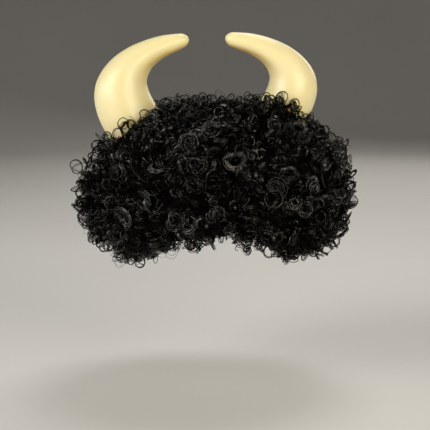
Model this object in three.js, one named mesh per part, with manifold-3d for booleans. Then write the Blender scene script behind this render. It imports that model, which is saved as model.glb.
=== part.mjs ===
// A horned curly costume wig: a stretch cap, five sections of curly hair sewn to it, and two curved horns.
// Millimetres, +Z up, the front faces -Y. The origin is the top of the head space, inside the cap.
import * as THREE from "three";
import { mergeVertices } from "three/addons/utils/BufferGeometryUtils.js";
import Module from "manifold-3d";

const wasm = await Module();
wasm.setup();

// Driving dimensions

const GAP = 0.3; // clearance between neighbouring pieces
const ROUND = 28; // facets round the cap

// The head space is an upright egg: its half sizes, and a fullness of 2 would be a plain ellipsoid.
// Below the hem it runs on as a straight column, between these two levels.
const HEAD = { halfWidth: 77, halfDepth: 94, rise: 98, fullness: 2.2, columnTop: -150, columnEnd: -300 };

// The cap's wall, and its bound hem. Hem angles are measured down from the top of the head, in degrees.
const CAP = { wall: 2, rings: 6 };
const HEM = { front: 60, side: 88, back: 102, sweep: 1.6, extra: 1.4, rings: 1 };

// The backing that the locks are fused to: a wide dome above its waist and a shallow bowl below it.
const HAIR = {
  halfWidth: 141,
  front: 133,
  back: 143,
  waist: -78,
  top: 31,
  bottom: -140,
  backRise: 6,
  upperFullness: 2.35,
  lowerFullness: 2.3,
  around: 40,
  rings: 12,
};

// The backing's bumps: their height, and how many of them there are round it and from top to bottom.
const BUMPS = { height: 5, round: 9, down: 7, slant: 2 };

// The crown stands fuller in front of the right horn: where, how far that reaches, and how high it is.
const CROWN_SWELL = { place: new THREE.Vector3(68, -45, 14), reach: 48, height: 12 };

// The face opening under the fringe.
const FACE = { middle: 4, halfWidth: 62, crown: -94, shoulder: -106, reach: 260, deep: 200 };

// One curl: a chunky open loop that stands on edge in the backing. turnStep and sizeStep vary its turn and its size.
// The fringe has two rows of curls: the angle of the lower one, and how far above it the other lies.
const CURL = {
  count: 66,
  loop: 18,
  loopSpread: 2.5,
  strand: 10,
  sink: 12,
  pitch: 16,
  startTurn: -0.32,
  endTurn: 0.36,
  steps: 6,
  sides: 5,
  lowestAngle: 138,
  fringeAngle: 86,
  fringeStep: 9,
  turnStep: 1.7,
  sizeStep: 2.4,
};

// Cuts between the sections: a level cut under the crown, and upright cuts at these bearings from the front.
const PARTING = { width: 0.4, crownLevel: -26, fringe: 28, back: 122, reach: 600 };

// The horns: sections from the foot to the tip, each by its ends on the inner and the outer side of the bend,
// measured out from the horn's middle line and up.
const HORN_SECTIONS = [
  { name: "foot", innerOut: 8, innerUp: -52, outerOut: 62, outerUp: -84 },
  { name: "sewing line", innerOut: 29, innerUp: -11, outerOut: 92, outerUp: -33 },
  { name: "in the hair", innerOut: 42, innerUp: 13.5, outerOut: 105, outerUp: -5.5 },
  { name: "swell", innerOut: 52, innerUp: 30, outerOut: 115, outerUp: 12.5 },
  { name: "lower bend", innerOut: 59, innerUp: 41.5, outerOut: 120.5, outerUp: 27 },
  { name: "bend", innerOut: 63, innerUp: 50.5, outerOut: 123, outerUp: 43 },
  { name: "back of the bend", innerOut: 65, innerUp: 59, outerOut: 121, outerUp: 58 },
  { name: "upper bend", innerOut: 63.5, innerUp: 67, outerOut: 114.5, outerUp: 71.5 },
  { name: "turn", innerOut: 59.5, innerUp: 74.5, outerOut: 104, outerUp: 84 },
  { name: "neck", innerOut: 52, innerUp: 82, outerOut: 87.5, outerUp: 96 },
  { name: "slope", innerOut: 42, innerUp: 88.5, outerOut: 67.5, outerUp: 105 },
  { name: "point", innerOut: 32.5, innerUp: 93, outerOut: 47.5, outerUp: 110.5 },
  { name: "tip", innerOut: 24.5, innerUp: 97, outerOut: 29, outerUp: 112.5 },
];
const HORN = { forward: 8, sides: 16, rings: 14, tipRings: 2, socket: 0.5 };
// Each horn's middle line, how far its foot and its tip are lifted, and how slim its foot is.
const HORNS = [
  { name: "horn_left", side: -1, middle: -11, footLift: 0, tipLift: 0, slim: 1 },
  { name: "horn_right", side: 1, middle: -8.5, footLift: 11, tipLift: 1.5, slim: 0.82 },
];

// Colours and finishes

const HAIR_FINISH = new THREE.MeshStandardMaterial({ color: 0x0d0c0b, roughness: 0.5, metalness: 0 });
const CAP_FINISH = new THREE.MeshStandardMaterial({ color: 0x141313, roughness: 0.9, metalness: 0 });
const HORN_FINISH = new THREE.MeshStandardMaterial({ color: 0xf2e2a0, roughness: 0.42, metalness: 0 });

// Shared geometry

const radians = THREE.MathUtils.degToRad;
const signedPower = (value, exponent) => Math.sign(value) * Math.abs(value) ** exponent;
const bearingsOf = (count) => Array.from({ length: count }, (_, i) => (i / count) * 2 * Math.PI);
const bearings = bearingsOf(ROUND);

// A closed surface through rings of equal length, from one pole to the other.
function loft(rings, firstPole, lastPole) {
  const around = rings[0].length;
  const points = [firstPole, ...rings.flat(), lastPole];
  const last = points.length - 1;
  const index = [];
  for (let i = 0; i < around; i++) {
    const j = (i + 1) % around;
    index.push(0, 1 + i, 1 + j);
    index.push(last, last - around + j, last - around + i);
    for (let r = 0; r + 1 < rings.length; r++) {
      const here = 1 + r * around;
      const next = here + around;
      index.push(here + i, next + i, next + j, here + i, next + j, here + j);
    }
  }
  return new THREE.BufferGeometry().setFromPoints(points).setIndex(index);
}

function solidFrom(geometry) {
  const bare = geometry.clone();
  bare.deleteAttribute("normal");
  bare.deleteAttribute("uv");
  const merged = mergeVertices(bare, 1e-4);
  const mesh = new wasm.Mesh({
    numProp: 3,
    vertProperties: merged.attributes.position.array,
    triVerts: new Uint32Array(merged.index.array),
  });
  return new wasm.Manifold(mesh);
}

function geometryFrom(solid) {
  const mesh = solid.getMesh();
  return new THREE.BufferGeometry()
    .setAttribute("position", new THREE.BufferAttribute(mesh.vertProperties, 3))
    .setIndex(new THREE.BufferAttribute(mesh.triVerts, 1));
}

function boxSolid(width, depth, height, matrix) {
  return solidFrom(new THREE.BoxGeometry(width, depth, height).applyMatrix4(matrix));
}

const largest = (solid) =>
  solid.decompose().reduce((best, body) => (body.volume() > best.volume() ? body : best));

// Cap

// A point of the egg-shaped head, grown outwards, at a bearing and an angle down from the top.
function headPoint(bearing, angle, grown) {
  const power = 2 / HEAD.fullness;
  const ring = signedPower(Math.sin(angle), power);
  return new THREE.Vector3(
    (HEAD.halfWidth + grown) * ring * Math.cos(bearing),
    (HEAD.halfDepth + grown) * ring * Math.sin(bearing),
    (HEAD.rise + grown) * signedPower(Math.cos(angle), power) - HEAD.rise,
  );
}

// The hem climbs over the forehead and drops to the nape.
function hemAngle(bearing) {
  const towardsBack = Math.sin(bearing);
  const end = towardsBack > 0 ? HEM.back : HEM.front;
  return radians(HEM.side + (end - HEM.side) * Math.abs(towardsBack) ** HEM.sweep);
}

// Rings of the cap's surface from the crown down to the hem.
function capRings(grown, hemGrown) {
  return Array.from({ length: CAP.rings }, (_, r) => {
    const share = (r + 1) / CAP.rings;
    const inHem = r >= CAP.rings - 1 - HEM.rings;
    return bearings.map((b) => headPoint(b, share * hemAngle(b), inHem ? hemGrown : grown));
  });
}

function capGeometry() {
  const outside = capRings(CAP.wall, CAP.wall + HEM.extra);
  const inside = capRings(0, 0).reverse();
  const top = new THREE.Vector3(0, 0, CAP.wall);
  return loft([...outside, ...inside], top, new THREE.Vector3());
}

// The space that the cap and the head below it take out of the hair and the horns.
function headSpace() {
  const clear = CAP.wall + GAP;
  const wide = clear + HEM.extra;
  const rings = capRings(clear, wide);
  for (const level of [HEAD.columnTop, HEAD.columnEnd]) {
    rings.push(bearings.map((b) => headPoint(b, Math.PI / 2, wide).setZ(level)));
  }
  const top = new THREE.Vector3(0, 0, clear);
  return solidFrom(loft(rings, top, new THREE.Vector3(0, 0, HEAD.columnEnd)));
}

// Horns

// The horn's skin: round sections carried between its inner and its outer line, closed by a rounded tip.
function hornGeometry({ side, middle, footLift, tipLift, slim }, grown) {
  const lineOf = (out, up) =>
    new THREE.CatmullRomCurve3(
      HORN_SECTIONS.map((section, i) => {
        const lift = THREE.MathUtils.lerp(footLift, tipLift, i / (HORN_SECTIONS.length - 1));
        return new THREE.Vector3(middle + side * section[out], -HORN.forward, section[up] + lift);
      }),
    );
  const inner = lineOf("innerOut", "innerUp");
  const outer = lineOf("outerOut", "outerUp");
  const across = new THREE.Vector3(0, 1, 0);
  const sectionAt = (t) => {
    const half = outer.getPoint(t).sub(inner.getPoint(t)).multiplyScalar(0.5);
    const centre = inner.getPoint(t).add(half);
    return { centre, half: half.setLength(half.length() * THREE.MathUtils.lerp(slim, 1, t) + grown) };
  };
  const ringOf = (centre, half) =>
    bearingsOf(HORN.sides).map((turn) =>
      centre
        .clone()
        .addScaledVector(half, Math.cos(turn))
        .addScaledVector(across, -side * half.length() * Math.sin(turn)),
    );
  const rings = [];
  for (let r = 0; r <= HORN.rings; r++) {
    const { centre, half } = sectionAt(r / HORN.rings);
    rings.push(ringOf(centre, half));
  }
  const tip = sectionAt(1);
  const onward = new THREE.Vector3().crossVectors(tip.half, across).multiplyScalar(side);
  for (let r = 1; r <= HORN.tipRings; r++) {
    const turn = (r / (HORN.tipRings + 1)) * (Math.PI / 2);
    const centre = tip.centre.clone().addScaledVector(onward, Math.sin(turn));
    rings.push(ringOf(centre, tip.half.clone().multiplyScalar(Math.cos(turn))));
  }
  return loft(rings, sectionAt(0).centre, tip.centre.clone().add(onward));
}

// Hair

// A point of the hair's backing at a bearing and an angle down from the top.
function hairPoint(bearing, angle) {
  const towardsBack = Math.sin(bearing);
  const upper = angle <= Math.PI / 2;
  const power = 2 / (upper ? HAIR.upperFullness : HAIR.lowerFullness);
  const ring = signedPower(Math.sin(angle), power);
  const drop = HAIR.waist - HAIR.bottom - HAIR.backRise * Math.max(0, towardsBack);
  const height = upper ? HAIR.top - HAIR.waist : drop;
  const waves = Math.sin(BUMPS.round * bearing + BUMPS.slant * angle) * Math.sin(BUMPS.down * angle);
  const swell = 1 + (BUMPS.height / HAIR.halfWidth) * waves;
  const point = new THREE.Vector3(
    swell * HAIR.halfWidth * ring * Math.cos(bearing),
    swell * (towardsBack > 0 ? HAIR.back : HAIR.front) * ring * towardsBack,
    HAIR.waist + swell * height * signedPower(Math.cos(angle), power),
  );
  const nearness = Math.exp(-((point.distanceTo(CROWN_SWELL.place) / CROWN_SWELL.reach) ** 2));
  point.z += CROWN_SWELL.height * nearness;
  return point;
}

// The direction straight out of the backing, from two short steps along it.
function hairOutward(bearing, angle) {
  const step = 0.01;
  const here = hairPoint(bearing, angle);
  const round = hairPoint(bearing + step, angle).sub(here);
  const down = hairPoint(bearing, angle + step).sub(here);
  return down.cross(round).normalize();
}

function backingSolid() {
  const rings = [];
  for (let r = 1; r < HAIR.rings; r++) {
    const angle = (r / HAIR.rings) * Math.PI;
    rings.push(bearingsOf(HAIR.around).map((b) => hairPoint(b, angle)));
  }
  return solidFrom(loft(rings, hairPoint(0, 0), hairPoint(0, Math.PI)));
}

// The face opening: an arch cut from the front to the head space.
function faceSolid() {
  const arch = new THREE.Shape()
    .moveTo(-FACE.halfWidth, -FACE.deep)
    .lineTo(FACE.halfWidth, -FACE.deep)
    .lineTo(FACE.halfWidth, FACE.shoulder)
    .quadraticCurveTo(0, 2 * FACE.crown - FACE.shoulder, -FACE.halfWidth, FACE.shoulder);
  const geometry = new THREE.ExtrudeGeometry(arch, {
    depth: FACE.reach,
    bevelEnabled: false,
    curveSegments: 8,
  });
  return solidFrom(geometry.rotateX(Math.PI / 2).translate(FACE.middle, 0, 0));
}

// The middle line of one curl: part of a turn of a flat helix that leaves the backing and dives back into it.
class CurlLine extends THREE.Curve {
  constructor(centre, outward, axis, loop) {
    super();
    Object.assign(this, { centre, outward, axis, loop });
    this.sideways = new THREE.Vector3().crossVectors(axis, outward);
  }
  getPoint(t, target = new THREE.Vector3()) {
    const turn = THREE.MathUtils.lerp(CURL.startTurn, CURL.endTurn, t);
    return target
      .copy(this.centre)
      .addScaledVector(this.outward, this.loop * Math.cos(2 * Math.PI * turn))
      .addScaledVector(this.sideways, this.loop * Math.sin(2 * Math.PI * turn))
      .addScaledVector(this.axis, CURL.pitch * turn);
  }
}

// The angle down from the top above which a share of the curled surface lies.
function angleAtShare(share) {
  const lowest = radians(CURL.lowestAngle);
  const belts = 90;
  const areas = [];
  let total = 0;
  for (let i = 0; i < belts; i++) {
    const upper = hairPoint(0, (i / belts) * lowest);
    const lower = hairPoint(0, ((i + 1) / belts) * lowest);
    total += (upper.x + lower.x) * upper.distanceTo(lower);
    areas.push(total);
  }
  const belt = areas.findIndex((area) => area >= share * total);
  return ((belt + 0.5) / belts) * lowest;
}

// Whether a curl at a point would hang over the face opening.
const overFace = ({ x, y, z }) =>
  y < 0 && Math.abs(x - FACE.middle) < FACE.halfWidth + CURL.loop && z < FACE.shoulder + CURL.loop;

// Curls are spread evenly on a golden-angle spiral, and each is turned and sized by its number.
// Those that would hang over the face opening stand in two rows on the fringe.
function curlSolid(number) {
  const golden = Math.PI * (3 - Math.sqrt(5));
  const bearing = number * golden;
  const evenAngle = angleAtShare((number + 0.5) / CURL.count);
  const fringeAngle = radians(CURL.fringeAngle - CURL.fringeStep * (number % 2));
  const angle = overFace(hairPoint(bearing, evenAngle)) ? fringeAngle : evenAngle;
  const outward = hairOutward(bearing, angle);
  const level = new THREE.Vector3(-Math.sin(bearing), Math.cos(bearing), 0);
  level.addScaledVector(outward, -level.dot(outward)).normalize();
  const axis = level.applyAxisAngle(outward, bearing * CURL.turnStep);
  const loop = CURL.loop + CURL.loopSpread * Math.sin(number * CURL.sizeStep);
  const centre = hairPoint(bearing, angle).addScaledVector(outward, -CURL.sink);
  const corners = bearingsOf(CURL.sides).map(
    (turn) => new THREE.Vector2(CURL.strand * Math.cos(turn), CURL.strand * Math.sin(turn)),
  );
  const section = new THREE.Shape(corners);
  const geometry = new THREE.ExtrudeGeometry(section, {
    steps: CURL.steps,
    extrudePath: new CurlLine(centre, outward, axis, loop),
    bevelEnabled: false,
  });
  return solidFrom(geometry);
}

function hairMass(head, sockets) {
  const curls = Array.from({ length: CURL.count }, (_, i) => curlSolid(i));
  const backing = backingSolid().subtract(faceSolid());
  const cut = wasm.Manifold.union([head, ...sockets]);
  return wasm.Manifold.union([backing, ...curls]).subtract(cut);
}

// Thin cuts that part the hair into its sewn sections.
function partings() {
  const { width, crownLevel, reach } = PARTING;
  const level = new THREE.Matrix4().setPosition(0, 0, crownLevel);
  const cuts = [boxSolid(reach, reach, width, level)];
  for (const fromFront of [PARTING.fringe, PARTING.back]) {
    for (const side of [-1, 1]) {
      const turn = new THREE.Matrix4().makeRotationZ(radians(side * fromFront - 90));
      const shift = new THREE.Matrix4().setPosition(reach / 2, 0, crownLevel - reach / 2);
      cuts.push(boxSolid(reach, width, reach, turn.multiply(shift)));
    }
  }
  return wasm.Manifold.union(cuts);
}

// The section that a body belongs to, by where its middle lies.
function sectionName(body) {
  const { min, max } = body.boundingBox();
  const middle = min.map((low, i) => (low + max[i]) / 2);
  if (max[2] > PARTING.crownLevel + PARTING.width) return "hair_crown";
  const fromFront = THREE.MathUtils.radToDeg(Math.atan2(Math.abs(middle[0]), -middle[1]));
  if (fromFront < PARTING.fringe) return "hair_fringe";
  if (fromFront > PARTING.back) return "hair_back";
  return middle[0] < 0 ? "hair_left" : "hair_right";
}

// The whole wig

const wig = new THREE.Group();

function addPiece(name, geometry, material) {
  const mesh = new THREE.Mesh(geometry, material);
  mesh.name = name;
  wig.add(mesh);
}

const head = headSpace();
addPiece("wig_cap", capGeometry(), CAP_FINISH);
for (const horn of HORNS) {
  const solid = largest(solidFrom(hornGeometry(horn, 0)).subtract(head));
  addPiece(horn.name, geometryFrom(solid), HORN_FINISH);
}
const sockets = HORNS.map((horn) => solidFrom(hornGeometry(horn, HORN.socket)));
const sections = new Map();
for (const body of hairMass(head, sockets).subtract(partings()).decompose()) {
  const name = sectionName(body);
  const known = sections.get(name);
  if (!known || body.volume() > known.volume()) sections.set(name, body);
}
for (const [name, body] of sections) addPiece(name, geometryFrom(body), HAIR_FINISH);

export default wig;
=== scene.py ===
"""The looks of a horned curly costume wig: springy black curls on a net cap, and two smooth cream horns.

Metres, +Z up, the front faces -Y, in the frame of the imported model. Bearings are measured round +Z from +X.
"""
import math

import bpy
import numpy as np
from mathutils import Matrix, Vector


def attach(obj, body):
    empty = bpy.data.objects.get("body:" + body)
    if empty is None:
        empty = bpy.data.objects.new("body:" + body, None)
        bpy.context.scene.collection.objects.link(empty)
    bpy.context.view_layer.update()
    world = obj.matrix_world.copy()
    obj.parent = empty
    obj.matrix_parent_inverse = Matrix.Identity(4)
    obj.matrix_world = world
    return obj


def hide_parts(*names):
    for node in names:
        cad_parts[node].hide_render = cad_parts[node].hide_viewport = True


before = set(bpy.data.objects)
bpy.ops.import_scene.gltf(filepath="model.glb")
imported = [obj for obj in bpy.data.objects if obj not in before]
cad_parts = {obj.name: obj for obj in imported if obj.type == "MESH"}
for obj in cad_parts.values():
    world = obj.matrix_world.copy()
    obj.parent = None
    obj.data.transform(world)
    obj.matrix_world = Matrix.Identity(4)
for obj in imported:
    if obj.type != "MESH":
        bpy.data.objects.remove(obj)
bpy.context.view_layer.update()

# Sizes

HEAD_HALF_WIDTH = 0.077
HEAD_HALF_DEPTH = 0.094
HEAD_RISE = 0.098
HEAD_FULLNESS = 2.2

CAP_WALL = 0.002
CAP_HEM_EXTRA = 0.0012
CAP_HEM_HEIGHT = 0.011
# Shares: of the hem's height where it is at its thickest, and of the way down where the cap's edge rounds.
CAP_HEM_FULL = 0.8
CAP_EDGE_START = 0.985
# Degrees down from the top at which the hem runs, and how sharply it leaves the level of the sides.
CAP_HEM_FRONT = 60
CAP_HEM_SIDE = 88
CAP_HEM_BACK = 102
CAP_HEM_SWEEP = 1.6
CAP_AROUND = 72
CAP_ROWS = 32
NET_SPACING = 0.0055
WEFT_SPACING = 0.013

BED_HALF_WIDTH = 0.141
BED_FRONT = 0.133
BED_BACK = 0.143
BED_WAIST = -0.078
BED_TOP = 0.031
BED_BOTTOM = -0.140
BED_BACK_RISE = 0.006
BED_UPPER_FULLNESS = 2.35
BED_LOWER_FULLNESS = 2.3
BED_INSET = 0.006
BED_GAP_TO_HEAD = 0.0045
BED_UNDER_SAG = 0.005
BED_AROUND = 128
BED_OUTER_ROWS = 48
BED_UNDER_ROWS = 9
BED_INNER_ROWS = 18
# Rolling lumps of the bed: how long and high they are, how many waves make them, what divides their sum.
LUMP_LENGTH = 0.052
LUMP_HEIGHT = 0.0045
LUMP_WAVES = 7
LUMP_SUM = 2.6
LUMP_SEED = 3
# Where the hair stands fuller, and a dip in its top line. Columns: place, how far it reaches, how high.
CROWN_SWELLS = (
    ((-0.064, -0.042, 0.016), 0.034, 0.008),
    ((0.066, -0.045, 0.014), 0.045, 0.016),
    ((0.140, -0.030, -0.052), 0.040, 0.005),
    ((0.023, -0.030, 0.030), 0.013, -0.010),
)
FACE_MIDDLE = 0.006
FACE_HALF_WIDTH = 0.074
FACE_BLEND = 0.022
FRINGE_ARCH_HALF_WIDTH = 0.017
# Degrees down from the crown at which the bed ends, outside and inside, and how much less at some places.
FRINGE_END = 110
FRINGE_ARCH_LESS = 17
SIDE_END = 140
BACK_LESS = 8
TEMPLE_LESS = 14
INNER_END = 100
INNER_FACE_END = 82

HORN_FORWARD = 0.008
# Sections of a horn from its foot on the cap to its tip, by their ends inside and outside the bend.
# Columns: inner end out from the horns' middle line, inner end up, outer end out, outer end up.
HORN_SECTIONS = np.array((
    (0.0080, -0.0520, 0.0620, -0.0840),
    (0.0290, -0.0110, 0.0920, -0.0330),
    (0.0420, 0.0135, 0.1050, -0.0055),
    (0.0520, 0.0300, 0.1150, 0.0125),
    (0.0590, 0.0415, 0.1205, 0.0270),
    (0.0630, 0.0505, 0.1230, 0.0430),
    (0.0650, 0.0590, 0.1210, 0.0580),
    (0.0635, 0.0670, 0.1145, 0.0715),
    (0.0595, 0.0745, 0.1040, 0.0840),
    (0.0520, 0.0820, 0.0875, 0.0960),
    (0.0420, 0.0885, 0.0675, 0.1050),
    (0.0325, 0.0930, 0.0475, 0.1105),
    (0.0245, 0.0970, 0.0290, 0.1125),
))
# Columns: side, middle line, lift of the foot, lift of the tip, slimness of the foot.
HORN_LEFT = (-1, -0.011, 0.0, 0.0, 1.0)
HORN_RIGHT = (1, -0.0085, 0.011, 0.0015, 0.82)
# The tip is the end of an egg: how long the egg is for its width, and the angle that takes up the taper.
TIP_LENGTH = 1.45
TIP_TURN = math.radians(20)
TIP_RINGS = 35
HORN_AROUND = 48
# Rows of a horn's skin, of the fine tube that it is cut from, and of the coarse one that strands keep off.
HORN_ROWS = 72
HORN_FINE_ROWS = 240
HORN_COARSE_ROWS = 60
HORN_STAND_OFF = 0.0005
# Rings of a horn's foot inside its edge, as shares of the way out from the foot's middle.
FOOT_RINGS = (0.35, 0.7)
# The painted golden shade inside the bend: how far round to the inside of the bend it starts, and where along
# the horn it comes in.
SHADE_PAINT_START = 0.74
SHADE_PAINT_ALONG = (0.36, 0.66)

# How far strands stay off a horn, and how deep in it they may lie and still be pushed out.
HORN_CLEARANCE = 0.001
HORN_PUSH = 0.007
# How often the roots of locks push each other apart, and by what share of their overlap.
RELAX_ROUNDS = 6
RELAX_SHARE = 0.3

# Where the hair is divided into sections: a level, and degrees round from the front.
CROWN_LEVEL = -0.026
FRINGE_BEARING = 28
BACK_BEARING = 122

FLOOR_LEVEL = -0.27
FLOOR_RINGS = (0.6, 1.6)
FLOOR_AROUND = 96
# Where the paper's painted shade starts, in metres out from its middle.
PAPER_SHADE_START = 0.9
PAPER_BEND = 1.2
PAPER_BEND_ROWS = 17
PAPER_WALL = 3.8
PAPER_HEIGHT = 3.6
LIGHT_AIM = (0, 0, -0.03)
# Columns: name, place, width, height, power in watts, colour.
LIGHTS = (
    ("key", (-2.1, -1.5, 1.1), 1.6, 1.6, 52, (1.0, 0.96, 0.90)),
    ("fill", (1.4, -1.95, 0.65), 2.0, 1.0, 48, (1.0, 0.915, 0.72)),
    ("side", (-2.6, -0.3, 0.6), 1.4, 0.8, 14, (1.0, 0.94, 0.86)),
    ("top", (0.3, 0.8, 1.7), 0.8, 0.8, 12, (1.0, 0.98, 0.95)),
    ("back", (0.7, 2.3, 0.9), 2.0, 1.4, 16, (1.0, 0.95, 0.86)),
)
SURROUND_COLOUR = (1.0, 0.96, 0.90, 1)
SURROUND_STRENGTH = 0.03
PHOTO_ELEVATION = 8
PHOTO_DISTANCE = 1.6
PHOTO_FRAME = 0.4816
PHOTO_AIM = (-0.001, 0.0, -0.0892)
SENSOR_MM = 36
PHOTO_RISE = math.radians(PHOTO_ELEVATION)
TOWARDS_VIEW = np.array((0, -math.cos(PHOTO_RISE), math.sin(PHOTO_RISE)))
UP_IN_VIEW = np.array((0, math.sin(PHOTO_RISE), math.cos(PHOTO_RISE)))

CURL_SEED = 31
rng = np.random.default_rng(CURL_SEED)
# The least length that a direction is divided by.
TINY = 1e-12


# Arrays and meshes

def signed_power(values, exponent):
    """A power that keeps the sign, which is what rounds a superellipse."""
    return np.sign(values) * np.abs(values) ** exponent


def smooth_step(values, low, high):
    """0 up to low, 1 from high, and an even S between them."""
    share = np.clip((values - low) / (high - low), 0, 1)
    return share * share * (3 - 2 * share)


def unit(vectors):
    """The same directions with length 1."""
    return vectors / np.maximum(np.linalg.norm(vectors, axis=-1, keepdims=True), TINY)


def make_piece(name, points, quads, triangles, material, point_values=None, corner_uv=None):
    """An object at the origin from whole arrays: places, four-sided faces and three-sided ones."""
    corners = np.concatenate([quads.ravel(), triangles.ravel()]).astype(np.int32)
    sizes = np.concatenate([np.full(len(quads), 4), np.full(len(triangles), 3)])
    starts = np.concatenate([[0], np.cumsum(sizes)[:-1]]).astype(np.int32)
    mesh = bpy.data.meshes.new(name)
    mesh.vertices.add(len(points))
    mesh.vertices.foreach_set("co", np.ascontiguousarray(points, np.float32).ravel())
    mesh.loops.add(len(corners))
    mesh.loops.foreach_set("vertex_index", corners)
    mesh.polygons.add(len(starts))
    mesh.polygons.foreach_set("loop_start", starts)
    mesh.polygons.foreach_set("use_smooth", np.ones(len(starts), bool))
    for title, values in (point_values or {}).items():
        layer = mesh.attributes.new(title, "FLOAT", "POINT")
        layer.data.foreach_set("value", np.ascontiguousarray(values, np.float32).ravel())
    if corner_uv is not None:
        layer = mesh.uv_layers.new(name="Lay")
        layer.data.foreach_set("uv", np.ascontiguousarray(corner_uv[corners], np.float32).ravel())
    mesh.update(calc_edges=True)
    mesh.materials.append(material)
    piece = bpy.data.objects.new(name, mesh)
    bpy.context.scene.collection.objects.link(piece)
    return piece


def wrapped_faces(rows, around):
    """Faces of a tube of rows that closes round, with a pole before the first row and after the last.

    The poles are the last two points. Rows go down and columns anticlockwise, so that faces point out.
    """
    here = np.arange(around)
    beside = (here + 1) % around
    row = np.arange(rows - 1)[:, None] * around
    quads = np.stack([row + here, row + around + here, row + around + beside, row + beside], axis=-1)
    first = np.stack([np.full(around, rows * around), here, beside], axis=-1)
    end = (rows - 1) * around
    last = np.stack([np.full(around, rows * around + 1), end + beside, end + here], axis=-1)
    return quads.reshape(-1, 4), np.concatenate([first, last])


def closed_surface(name, grid, first_pole, last_pole, material, point_values=None, corner_uv=None):
    """A piece from a grid of rows, closed round and closed at both ends by a pole."""
    rows, around, _ = grid.shape
    points = np.concatenate([grid.reshape(-1, 3), [first_pole, last_pole]])
    quads, triangles = wrapped_faces(rows, around)
    return make_piece(name, points, quads, triangles, material, point_values, corner_uv)


# Materials

def new_material(name):
    """A material, its node tree and the Principled shader in it."""
    material = bpy.data.materials.new(name)
    material.use_nodes = True
    tree = material.node_tree
    return material, tree, tree.nodes["Principled BSDF"]


def give(socket, value):
    """Links an input to an output, or sets its value."""
    if isinstance(value, bpy.types.NodeSocket):
        socket.id_data.links.new(value, socket)
    else:
        socket.default_value = value


def set_inputs(node, inputs):
    """Gives some of a node's inputs, by title or number, an output or a value."""
    for title, value in inputs.items():
        give(node.inputs[title], value)


def new_node(tree, kind, inputs):
    """A shader node of a kind, with some of its inputs given."""
    node = tree.nodes.new("ShaderNode" + kind)
    set_inputs(node, inputs)
    return node


def point_value(tree, title):
    """A value that the mesh holds for each of its points."""
    node = tree.nodes.new("ShaderNodeAttribute")
    node.attribute_name = title
    return node.outputs["Fac"]


def own_map(tree):
    """The places of the piece's own UV map."""
    node = tree.nodes.new("ShaderNodeUVMap")
    node.uv_map = "Lay"
    return node.outputs["UV"]


def mottle_group():
    """Uneven patches: noise on Object coordinates, stretched between a low and a high value."""
    group = bpy.data.node_groups.new("uneven_patches", "ShaderNodeTree")
    for title in ("Scale", "Low", "High"):
        group.interface.new_socket(title, in_out="INPUT", socket_type="NodeSocketFloat")
    group.interface.new_socket("Value", in_out="OUTPUT", socket_type="NodeSocketFloat")
    asked = group.nodes.new("NodeGroupInput").outputs
    place = group.nodes.new("ShaderNodeTexCoord").outputs["Object"]
    noise = new_node(group, "TexNoise", {"Vector": place, "Scale": asked["Scale"], "Detail": 4})
    spread = new_node(group, "MapRange", {
        "Value": noise.outputs["Fac"], "From Min": 0.3, "From Max": 0.7,
        "To Min": asked["Low"], "To Max": asked["High"],
    })
    set_inputs(group.nodes.new("NodeGroupOutput"), {"Value": spread.outputs["Result"]})
    return group


UNEVEN = mottle_group()


def uneven(tree, scale, low, high):
    """The output of an uneven-patches group placed in a material's tree."""
    node = tree.nodes.new("ShaderNodeGroup")
    node.node_tree = UNEVEN
    set_inputs(node, {"Scale": scale, "Low": low, "High": high})
    return node.outputs["Value"]


def ramp(tree, factor, stops):
    """The colour that a factor picks from a few stops of position and colour."""
    node = new_node(tree, "ValToRGB", {"Fac": factor})
    while len(node.color_ramp.elements) < len(stops):
        node.color_ramp.elements.new(1.0)
    for element, (position, colour) in zip(node.color_ramp.elements, stops):
        element.position = position
        element.color = (*colour, 1)
    return node.outputs["Color"]


def mixed_colour(tree, factor, first, second, blend="MIX"):
    """Two colours mixed by a factor."""
    node = tree.nodes.new("ShaderNodeMix")
    node.data_type = "RGBA"
    node.blend_type = blend
    for title, value in (("Factor", factor), ("A", first), ("B", second)):
        give(next(inlet for inlet in node.inputs if inlet.name == title and inlet.enabled), value)
    return next(outlet for outlet in node.outputs if outlet.enabled)


def bumped(tree, height, strength, distance):
    """The surface's normal, bent by a height."""
    node = new_node(tree, "Bump", {"Height": height, "Strength": strength, "Distance": distance})
    return node.outputs["Normal"]


def stretched_noise(tree, across, along):
    """Noise on the piece's own UV map, drawn out along it into fine lines."""
    scale = new_node(tree, "Mapping", {"Vector": own_map(tree), "Scale": (across, along, 1)})
    noise = new_node(tree, "TexNoise", {"Vector": scale.outputs["Vector"], "Scale": 1, "Detail": 2})
    return noise.outputs["Fac"]


def curl_material():
    """Black synthetic curls: each strand has its own tone, a satin shine and fine fibres along it."""
    material, tree, shader = new_material("black_curls")
    tone = point_value(tree, "tone")
    strands = ramp(tree, tone, (
        (0.0, (0.0004, 0.0003, 0.0002)),
        (0.7, (0.0016, 0.0013, 0.0010)),
        (1.0, (0.0060, 0.0047, 0.0036)),
    ))
    patches = uneven(tree, scale=70, low=0.0, high=1.0)
    fibres = bumped(tree, stretched_noise(tree, across=1.5, along=0.3), strength=0.3, distance=0.0003)
    set_inputs(shader, {
        "Base Color": mixed_colour(tree, patches, strands, (0.0007, 0.0005, 0.0004, 1)),
        "Roughness": uneven(tree, scale=110, low=0.35, high=0.5),
        "Specular IOR Level": 0.02,
        "Coat Weight": tone,
        "Coat Roughness": 0.22,
        "Coat IOR": 2.45,
        "Normal": fibres,
        "Coat Normal": fibres,
    })
    return material


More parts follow.
